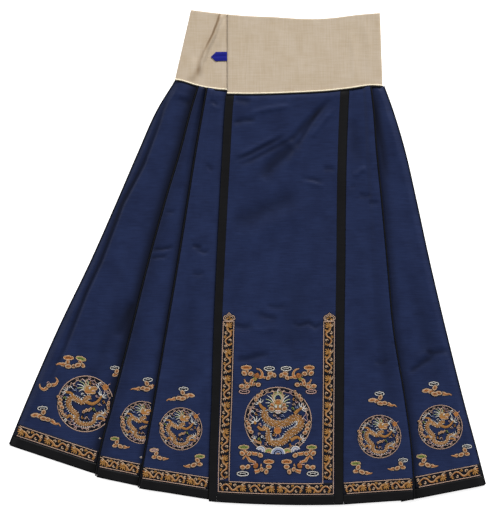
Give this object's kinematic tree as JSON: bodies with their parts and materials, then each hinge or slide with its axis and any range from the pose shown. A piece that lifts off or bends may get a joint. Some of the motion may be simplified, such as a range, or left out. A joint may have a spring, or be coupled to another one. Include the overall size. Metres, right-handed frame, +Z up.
{
  "type": "pleated wrap skirt",
  "caption": "Long pleated wrap skirt laid flat, with a flat embroidered front panel, knife-pleated gores, black bindings and a wide cotton waistband.",
  "frame": {"origin": "centre of the skirt's outline, on the surface that it lies on", "axes": "+Z up off the surface, +Y from the hem towards the waistband, +X to the right of a viewer above the front"},
  "size_m": [0.9561, 0.9901, 0.0087],
  "materials": {
    "navy_satin": "dark blue silk satin with a soft sheen",
    "black_satin": "black silk satin bands and piping",
    "cream_cotton": "plain cream cotton, slubbed, matt",
    "blue_tab": "bright blue woven cotton",
    "gold_thread": "couched gold and copper coloured thread with small silk accents"
  },
  "bodies": {
    "root": {"waistband": "cream_cotton", "waist_tab": "blue_tab", "front_panel": "navy_satin", "front_under_panel": "navy_satin", "gore_left_1": "navy_satin", "gore_left_2": "navy_satin", "gore_left_3": "navy_satin", "gore_right_1": "navy_satin", "gore_right_2": "navy_satin", "back_panel": "navy_satin", "back_under_panel": "navy_satin", "gore_back_1": "navy_satin", "gore_back_2": "navy_satin", "gore_back_3": "navy_satin", "gore_back_4": "navy_satin", "gore_back_5": "navy_satin", "front_panel_strip_left": "black_satin", "front_panel_strip_right": "black_satin", "back_panel_strip_left": "black_satin", "back_panel_strip_right": "black_satin", "hem_left_1": "black_satin", "hem_left_2": "black_satin", "hem_left_3": "black_satin", "hem_front_panel": "black_satin", "hem_right_1": "black_satin", "hem_right_2": "black_satin", "hem_back_1": "black_satin", "hem_back_2": "black_satin", "hem_back_3": "black_satin", "hem_back_4": "black_satin", "hem_back_5": "black_satin", "hem_back_panel": "black_satin", "piping_left_1": "black_satin", "piping_left_2": "black_satin", "piping_right_1": "black_satin", "piping_back_1": "black_satin", "piping_back_2": "black_satin", "piping_back_3": "black_satin", "piping_left_side": "black_satin", "piping_right_side": "black_satin"}
  },
  "joints": []
}
